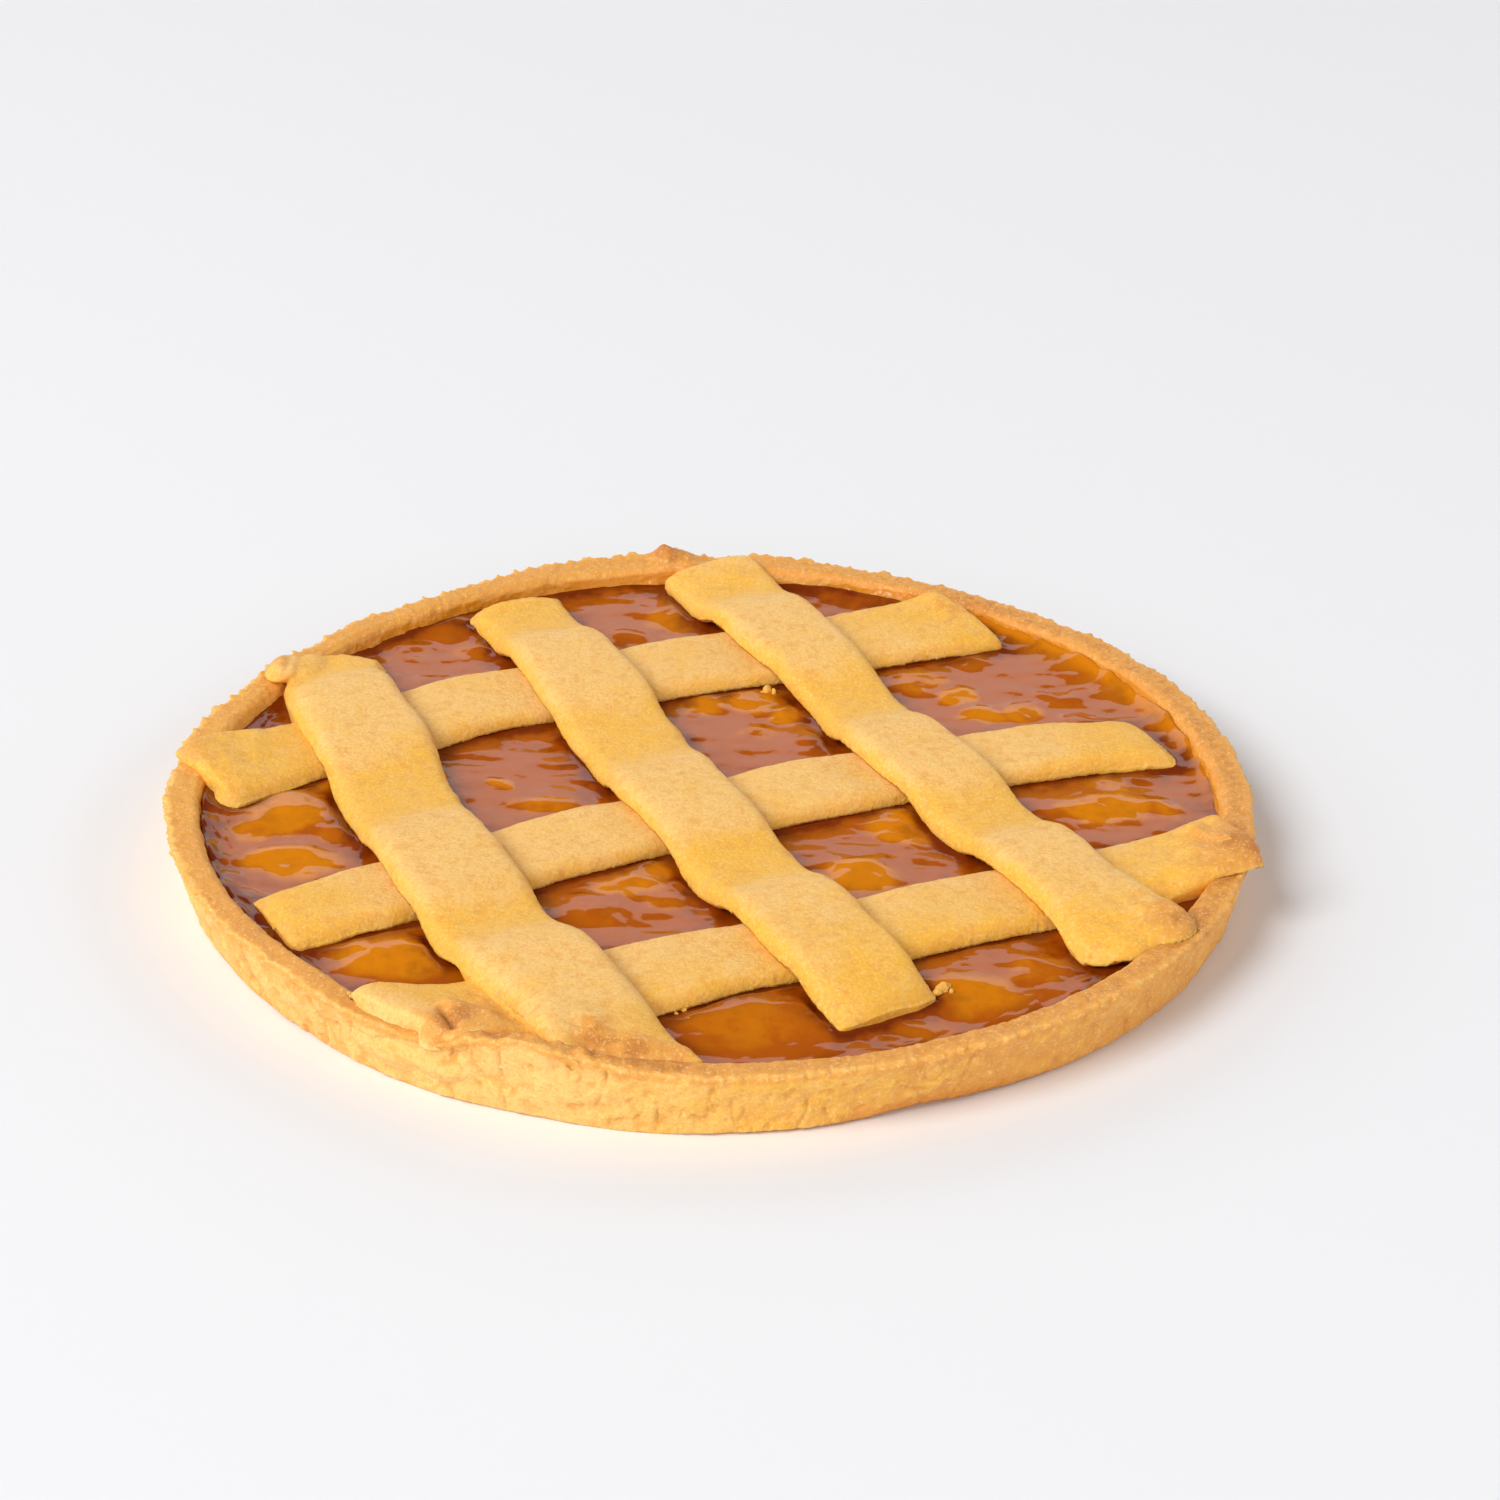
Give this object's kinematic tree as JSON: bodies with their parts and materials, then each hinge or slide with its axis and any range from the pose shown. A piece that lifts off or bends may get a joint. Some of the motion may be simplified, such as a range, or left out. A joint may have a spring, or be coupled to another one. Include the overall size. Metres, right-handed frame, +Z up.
{
  "type": "apricot crostata",
  "caption": "Round apricot crostata with a low pastry case, glossy jam filling and a hand-laid pastry lattice.",
  "frame": {"origin": "middle of the flat underside of the pastry case", "axes": "+Z up out of the filling, -Y towards the front of the tart, +X to the right"},
  "size_m": [0.2617, 0.2625, 0.0239],
  "materials": {
    "case_pastry": "matte",
    "strip_pastry": "matte",
    "jam": "gloss"
  },
  "bodies": {
    "root": {"pastry_case": "case_pastry", "apricot_filling": "jam", "lattice_lower_far": "strip_pastry", "lattice_lower_middle": "strip_pastry", "lattice_lower_near": "strip_pastry", "lattice_upper_left": "strip_pastry", "lattice_upper_middle": "strip_pastry", "lattice_upper_right": "strip_pastry"}
  },
  "joints": []
}
